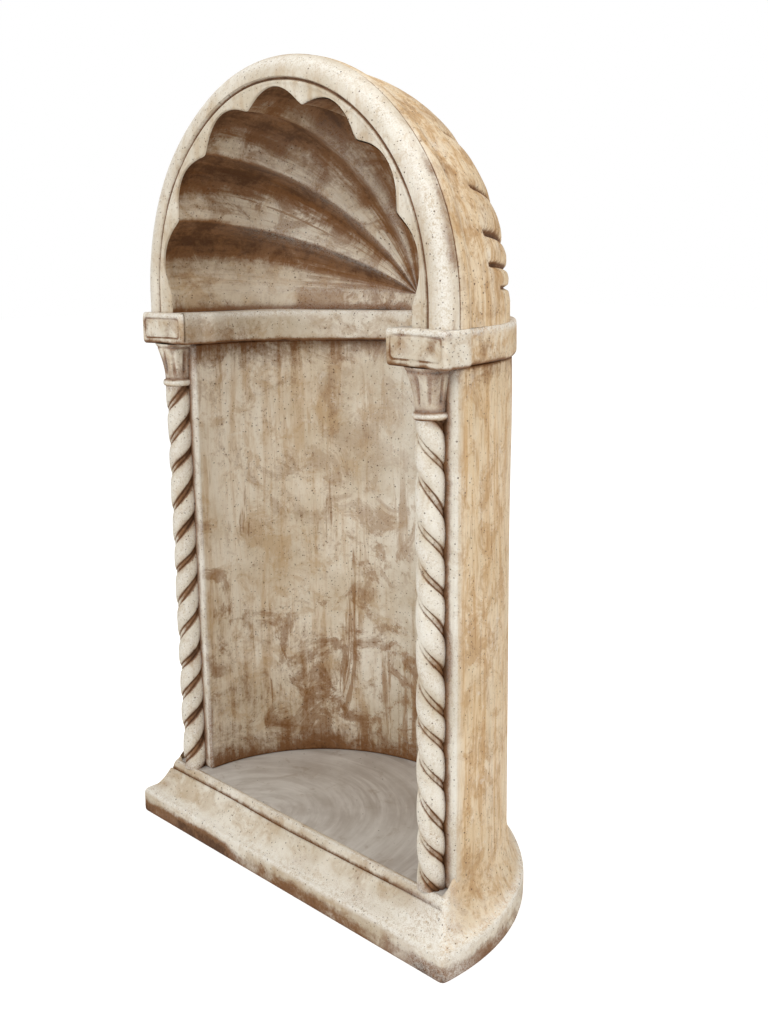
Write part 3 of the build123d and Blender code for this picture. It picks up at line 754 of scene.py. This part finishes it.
class Shader:
    """Small helper that adds and links nodes of one material."""

    def __init__(self, name):
        self.material = bpy.data.materials.new(name)
        self.material.use_nodes = True
        self.tree = self.material.node_tree
        self.tree.nodes.clear()
        self.place = self.add("ShaderNodeTexCoord").outputs["Object"]

    def add(self, kind, **values):
        """A node with its properties set."""
        node = self.tree.nodes.new(kind)
        for key, value in values.items():
            setattr(node, key, value)
        return node

    def put(self, socket, value):
        """Links a socket to another, or sets its value."""
        if isinstance(value, bpy.types.NodeSocket):
            self.tree.links.new(value, socket)
        else:
            socket.default_value = value if isinstance(value, float) else tuple(value)

    def noise(self, scale, detail=4.0, rough=0.55, distortion=0.0, place=None):
        """Noise in the object's own space, or in another."""
        node = self.add("ShaderNodeTexNoise")
        self.put(node.inputs["Vector"], place or self.place)
        node.inputs["Scale"].default_value = scale
        node.inputs["Detail"].default_value = detail
        node.inputs["Roughness"].default_value = rough
        node.inputs["Distortion"].default_value = distortion
        return node.outputs["Fac"]

    def ramp(self, value, low, high):
        """A soft step between two values."""
        node = self.add("ShaderNodeMapRange", interpolation_type="SMOOTHSTEP")
        self.put(node.inputs["Value"], value)
        node.inputs["From Min"].default_value = low
        node.inputs["From Max"].default_value = high
        return node.outputs["Result"]

    def math(self, operation, a, b=0.0):
        """One operation on two values."""
        node = self.add("ShaderNodeMath", operation=operation)
        self.put(node.inputs[0], a)
        self.put(node.inputs[1], b)
        return node.outputs[0]

    def times(self, first, *others):
        """A product of values."""
        for other in others:
            first = self.math("MULTIPLY", first, other)
        return first

    def plus(self, first, *others):
        """A sum of values."""
        for other in others:
            first = self.math("ADD", first, other)
        return first

    def sway(self, value, amount):
        """A noise's swing about its middle, times an amount."""
        return self.times(self.math("SUBTRACT", value, 0.5), amount)

    def mix(self, share, a, b):
        """A mix of two colours."""
        node = self.add("ShaderNodeMix", data_type="RGBA")
        self.put(node.inputs[0], share)
        self.put(node.inputs[6], a)
        self.put(node.inputs[7], b)
        return node.outputs[2]

    def layer(self, name):
        """A piece's own attribute."""
        return self.add("ShaderNodeAttribute", attribute_name=name).outputs["Fac"]

    def pits(self, scale, size):
        """Small round pores: near the points of a random scatter, for a share of the cells."""
        cells = self.add("ShaderNodeTexVoronoi")
        self.put(cells.inputs["Vector"], self.place)
        cells.inputs["Scale"].default_value = scale
        picked = self.ramp(self.red_part(cells.outputs["Color"]), 0.5, 0.9)
        near = self.ramp(self.math("SUBTRACT", size, cells.outputs["Distance"]), 0.0, size * 0.45)
        return self.math("MULTIPLY", near, picked)

    def red_part(self, colour):
        """The red part of a colour."""
        node = self.add("ShaderNodeSeparateColor")
        self.put(node.inputs["Color"], colour)
        return node.outputs["Red"]

    def close(self, colour, rough, height, distance):
        """The surface: colour, roughness and a bump from a height."""
        relief = self.add("ShaderNodeBump")
        relief.inputs["Strength"].default_value = 0.6
        relief.inputs["Distance"].default_value = distance
        self.put(relief.inputs["Height"], height)
        shader = self.add("ShaderNodeBsdfPrincipled")
        self.put(shader.inputs["Base Color"], colour)
        self.put(shader.inputs["Roughness"], rough)
        shader.inputs["Specular IOR Level"].default_value = 0.3
        self.put(shader.inputs["Normal"], relief.outputs["Normal"])
        output = self.add("ShaderNodeOutputMaterial")
        self.put(output.inputs["Surface"], shader.outputs["BSDF"])
        return self.material


def make_stone():
    """Cream cast stone with a tan wash, brown stains and painted shade in the hollows, worn pale edges with
    painted highlights, and pores.
    """
    s, c = Shader("worn_stone"), colours()
    stain, wear, tan, smear = (s.layer(n) for n in ("stain", "wear", "tan", "smear"))
    brush = s.add("ShaderNodeAttribute", attribute_name="grain").outputs["Vector"]
    patches = s.noise(8, 5, 0.6)
    brushed = s.noise(62, 7, 0.7, 0.3, brush)
    hairs = s.noise(260, 4, 0.65, 0.1, brush)
    drawn = s.noise(21, 6, 0.6, 1.2, brush)
    cluster = s.noise(6.5, 3, 0.55, 0.4)
    blotches = s.noise(19, 9, 0.74, 0.7)
    mottle = s.noise(24, 8, 0.72, 0.5)
    cloud = s.noise(31, 8, 0.75, 0.4)
    speck = s.noise(190, 4, 0.72)
    sand = s.noise(620, 2, 0.6)
    # Cream ground
    base = s.mix(s.ramp(patches, 0.32, 0.68), c.cream, c.shade)
    base = s.mix(s.times(s.ramp(brushed, 0.44, 0.7), 0.5), base, srgb(176, 155, 124))
    base = s.mix(s.times(s.ramp(mottle, 0.5, 0.62), 0.42), base, srgb(176, 151, 115))
    # Tan wash of the outside, with mottling, streaks and hairs
    base = s.mix(s.times(tan, s.plus(s.times(s.ramp(brushed, 0.25, 0.7), 0.5), 0.5)), base, c.tan)
    base = s.mix(s.times(tan, s.ramp(mottle, 0.48, 0.62), 0.62), base, srgb(180, 135, 82))
    base = s.mix(s.times(tan, 0.55, s.ramp(brushed, 0.5, 0.62)), base, srgb(184, 138, 84))
    base = s.mix(s.times(tan, 0.6, s.ramp(hairs, 0.48, 0.72)), base, srgb(160, 112, 62))
    # Smears, scuffs and freckles
    smears = s.times(s.ramp(cluster, 0.4, 0.56), s.ramp(blotches, 0.49, 0.57), smear)
    drags = s.times(s.ramp(cluster, 0.5, 0.64), s.ramp(brushed, 0.48, 0.6), smear)
    base = s.mix(s.times(s.math("MAXIMUM", smears, drags), 0.6), base, c.smear)
    scuffs = s.times(s.ramp(drawn, 0.615, 0.635), s.ramp(cluster, 0.42, 0.5), smear)
    base = s.mix(s.times(scuffs, 0.75), base, srgb(148, 108, 66))
    freckles = s.times(s.ramp(speck, 0.56, 0.72), s.ramp(blotches, 0.4, 0.6))
    base = s.mix(s.times(freckles, 0.75), base, srgb(142, 106, 70))
    # Brown in crevices and hollows: antiquing patina plus painted shade where the ambient occlusion finds
    # them
    occlusion = s.add("ShaderNodeAmbientOcclusion", samples=6)
    occlusion.inputs["Distance"].default_value = 30 * MM
    crevice_patina_and_shade = s.plus(s.math("SUBTRACT", 1.0, occlusion.outputs["AO"]), s.sway(speck, 0.7))
    base = s.mix(s.times(s.ramp(crevice_patina_and_shade, 0.3, 0.85), 0.7), base, srgb(116, 75, 37))
    # Brown from the pieces' stains plus their painted shade and shadow.
    brown = s.plus(stain, s.sway(speck, 0.45), s.sway(blotches, 1.3), s.sway(brushed, 0.8))
    covered = s.times(s.ramp(brown, 0.2, 0.8), s.ramp(stain, 0.03, 0.2))
    base = s.mix(s.times(covered, 0.92), base, c.stain)
    deepest = s.times(s.ramp(brown, 0.78, 1.15), s.ramp(stain, 0.35, 0.75))
    base = s.mix(s.times(deepest, 0.8), base, c.deep)
    # Pale worn edges, painted highlights and bloom
    dust = s.plus(s.times(s.plus(speck, sand), 0.5), s.times(patches, 0.3))
    # Pale mask of worn edges together with painted highlights.
    worn = s.times(wear, s.ramp(dust, 0.5, 0.75), 0.85)
    bloom = s.times(s.ramp(cloud, 0.58, 0.68), 0.32, s.math("SUBTRACT", 1.0, stain))
    base = s.mix(s.math("MAXIMUM", worn, bloom), base, c.pale)
    # Pores
    fine_pits = s.math("MAXIMUM", s.pits(170, 0.2), s.pits(290, 0.22))
    pits = s.math("MAXIMUM", fine_pits, s.pits(75, 0.11))
    base = s.mix(s.times(pits, 0.8), base, srgb(86, 58, 36))
    rough = s.plus(s.times(speck, 0.35), 0.5)
    height = s.plus(s.times(sand, 0.18), s.times(speck, 0.4), s.times(brushed, 0.5))
    return s.close(base, rough, s.math("SUBTRACT", height, pits), 1.6 * MM)


def make_floor():
    """Grey cement with faint arcs left by the trowel, round a point near the front.

    The arcs are noise in polar coordinates, finely divided by distance and coarsely by angle.
    """
    s, c = Shader("trowelled_cement"), colours()
    cloud = s.noise(10, 5, 0.6)
    scuff = s.noise(30, 7, 0.7, 0.6)
    parts = s.add("ShaderNodeSeparateXYZ")
    s.put(parts.inputs["Vector"], s.place)
    across = s.plus(parts.outputs["X"], 60 * MM)
    along = s.plus(parts.outputs["Y"], 20 * MM)
    reach = s.math("SQRT", s.plus(s.times(across, across), s.times(along, along)))
    polar = s.add("ShaderNodeCombineXYZ")
    s.put(polar.inputs["X"], s.times(reach, 70.0))
    s.put(polar.inputs["Y"], s.times(s.math("ARCTAN2", along, across), 1.3))
    arcs = s.noise(1.0, 6, 0.62, 0.3, polar.outputs["Vector"])
    base = s.mix(s.ramp(cloud, 0.3, 0.7), c.cement, srgb(176, 168, 160))
    base = s.mix(s.times(s.ramp(arcs, 0.45, 0.7), 0.5), base, srgb(222, 219, 214))
    base = s.mix(s.times(s.ramp(arcs, 0.5, 0.3), 0.35), base, srgb(158, 147, 135))
    base = s.mix(s.times(s.ramp(scuff, 0.56, 0.68), 0.4), base, srgb(152, 135, 117))
    pits = s.pits(80, 0.1)
    base = s.mix(pits, base, srgb(84, 70, 58))
    height = s.math("SUBTRACT", s.plus(s.times(scuff, 0.3), s.times(arcs, 0.4)), pits)
    return s.close(base, s.plus(s.times(cloud, 0.3), 0.42), height, 1 * MM)


class NICHE_OT_materials(NicheOperator):
    """Makes the stone and cement materials."""

    bl_idname = "niche.materials"
    bl_label = "Materials"

    def execute(self, context):
        make_stone()
        make_floor()
        return {"FINISHED"}


class NICHE_OT_stage(NicheOperator):
    """A pale floor, soft lights and a camera at the photo's angle."""

    bl_idname = "niche.stage"
    bl_label = "Stage"

    azimuth: bpy.props.FloatProperty(name="Azimuth", default=46.777)
    pitch: bpy.props.FloatProperty(name="Pitch", default=12.51)
    roll: bpy.props.FloatProperty(name="Roll", default=0.598)
    eye: bpy.props.FloatVectorProperty(name="Eye", default=(1.1875, -0.9411, 0.8382), subtype="XYZ")
    lens: bpy.props.FloatProperty(name="Lens", default=43.01)
    glow: bpy.props.FloatProperty(name="Floor glow", default=0.62)

    def execute(self, context):
        scene = context.scene
        data = bpy.data.cameras.new("camera")
        data.sensor_fit = "VERTICAL"
        data.sensor_height = 36
        data.sensor_width = 27
        data.lens = self.lens
        camera = bpy.data.objects.new("camera", data)
        scene.collection.objects.link(camera)
        az, el, roll = (math.radians(v) for v in (self.azimuth, self.pitch, self.roll))
        back = Vector((math.sin(az) * math.cos(el), -math.cos(az) * math.cos(el), math.sin(el)))
        right = Vector((math.cos(az), math.sin(az), 0))
        down = (-back).cross(right)
        turned_right = math.cos(roll) * right + math.sin(roll) * down
        turned_down = -math.sin(roll) * right + math.cos(roll) * down
        axes = Matrix((turned_right, -turned_down, back)).transposed().to_4x4()
        camera.matrix_world = Matrix.Translation(Vector(self.eye)) @ axes
        scene.camera = camera
        self.floor(scene)
        self.light(scene, "key", (0.5, -2.4, 2.6), 1.8, 50, (1.0, 0.99, 0.97))
        self.light(scene, "side", (2.6, 0.4, 1.7), 1.8, 22, (1.0, 0.97, 0.93))
        self.light(scene, "top", (0.2, 0.5, 3.2), 2.0, 16, (1.0, 1.0, 1.0))
        self.surroundings(scene)
        scene.view_settings.view_transform = "Standard"
        return {"FINISHED"}

    def surroundings(self, scene):
        """Soft light from all round, which the camera sees as white."""
        world = bpy.data.worlds.new("world")
        scene.world = world
        world.use_nodes = True
        tree = world.node_tree
        tree.nodes.clear()
        soft = tree.nodes.new("ShaderNodeBackground")
        soft.inputs["Color"].default_value = (1.0, 0.99, 0.975, 1)
        soft.inputs["Strength"].default_value = 0.48
        seen = tree.nodes.new("ShaderNodeBackground")
        seen.inputs["Color"].default_value = (1, 1, 1, 1)
        ray = tree.nodes.new("ShaderNodeLightPath")
        mix = tree.nodes.new("ShaderNodeMixShader")
        output = tree.nodes.new("ShaderNodeOutputWorld")
        tree.links.new(ray.outputs["Is Camera Ray"], mix.inputs[0])
        tree.links.new(soft.outputs[0], mix.inputs[1])
        tree.links.new(seen.outputs[0], mix.inputs[2])
        tree.links.new(mix.outputs[0], output.inputs["Surface"])

    def floor(self, scene):
        """A pale level floor that the camera sees as white, with the object's shadow."""
        s = Shader("studio_floor")
        cloud = s.noise(2, 2)
        s.close(s.mix(cloud, srgb(250, 250, 250), srgb(246, 246, 246)), 0.9, cloud, 0.0002)
        nodes = s.tree.nodes
        glow = s.add("ShaderNodeEmission")
        ray = s.add("ShaderNodeLightPath")
        s.put(glow.inputs["Strength"], s.times(ray.outputs["Is Camera Ray"], self.glow))
        both = s.add("ShaderNodeAddShader")
        output = next(n for n in nodes if n.type == "OUTPUT_MATERIAL")
        s.put(both.inputs[0], next(n for n in nodes if n.type == "BSDF_PRINCIPLED").outputs["BSDF"])
        s.put(both.inputs[1], glow.outputs["Emission"])
        s.put(output.inputs["Surface"], both.outputs["Shader"])
        size = 12.0
        mesh = bpy.data.meshes.new("studio_floor")
        corners = [(-size, -size, 0), (size, -size, 0), (size, size, 0), (-size, size, 0)]
        mesh.from_pydata(corners, [], [(0, 1, 2, 3)])
        mesh.materials.append(s.material)
        floor = bpy.data.objects.new("studio_floor", mesh)
        scene.collection.objects.link(floor)

    def light(self, scene, name, place, size, power, colour):
        """A square soft light aimed at the niche's middle."""
        data = bpy.data.lights.new(name, "AREA")
        data.size = size
        data.energy = power
        data.color = colour
        lamp = bpy.data.objects.new(name, data)
        lamp.location = place
        lamp.rotation_euler = (Vector(place) - Vector((0, 0.1, 0.5))).to_track_quat("Z", "Y").to_euler()
        scene.collection.objects.link(lamp)


STEPS = ("materials", "conch", "head", "columns", "capitals", "wall", "impost", "plinth", "floor", "stage")


class NICHE_PT_panel(bpy.types.Panel):
    """Buttons and sizes of the niche."""

    bl_idname = "NICHE_PT_panel"
    bl_label = "Statue niche"
    bl_space_type = "VIEW_3D"
    bl_region_type = "UI"
    bl_category = "Niche"

    def draw(self, context):
        for name in NicheSizes.__annotations__:
            self.layout.prop(context.scene.niche_sizes, name)
        for name in NicheColours.__annotations__:
            self.layout.prop(context.scene.niche_colours, name)
        for step in STEPS:
            self.layout.operator("niche." + step)


CLASSES = (
    NicheSizes, NicheColours, NICHE_OT_materials, NICHE_OT_conch, NICHE_OT_head, NICHE_OT_columns,
    NICHE_OT_capitals, NICHE_OT_wall, NICHE_OT_impost, NICHE_OT_plinth, NICHE_OT_floor, NICHE_OT_stage,
    NICHE_PT_panel,
)


def register():
    """Adds the classes and the scene's sizes and colours."""
    for cls in CLASSES:
        bpy.utils.register_class(cls)
    bpy.types.Scene.niche_sizes = bpy.props.PointerProperty(type=NicheSizes)
    bpy.types.Scene.niche_colours = bpy.props.PointerProperty(type=NicheColours)


def unregister():
    """Takes them away again."""
    del bpy.types.Scene.niche_colours
    del bpy.types.Scene.niche_sizes
    for cls in reversed(CLASSES):
        bpy.utils.unregister_class(cls)


def main():
    """Builds every piece in order."""
    register()
    for step in STEPS:
        getattr(bpy.ops.niche, step)()


if __name__ == "__main__":
    main()
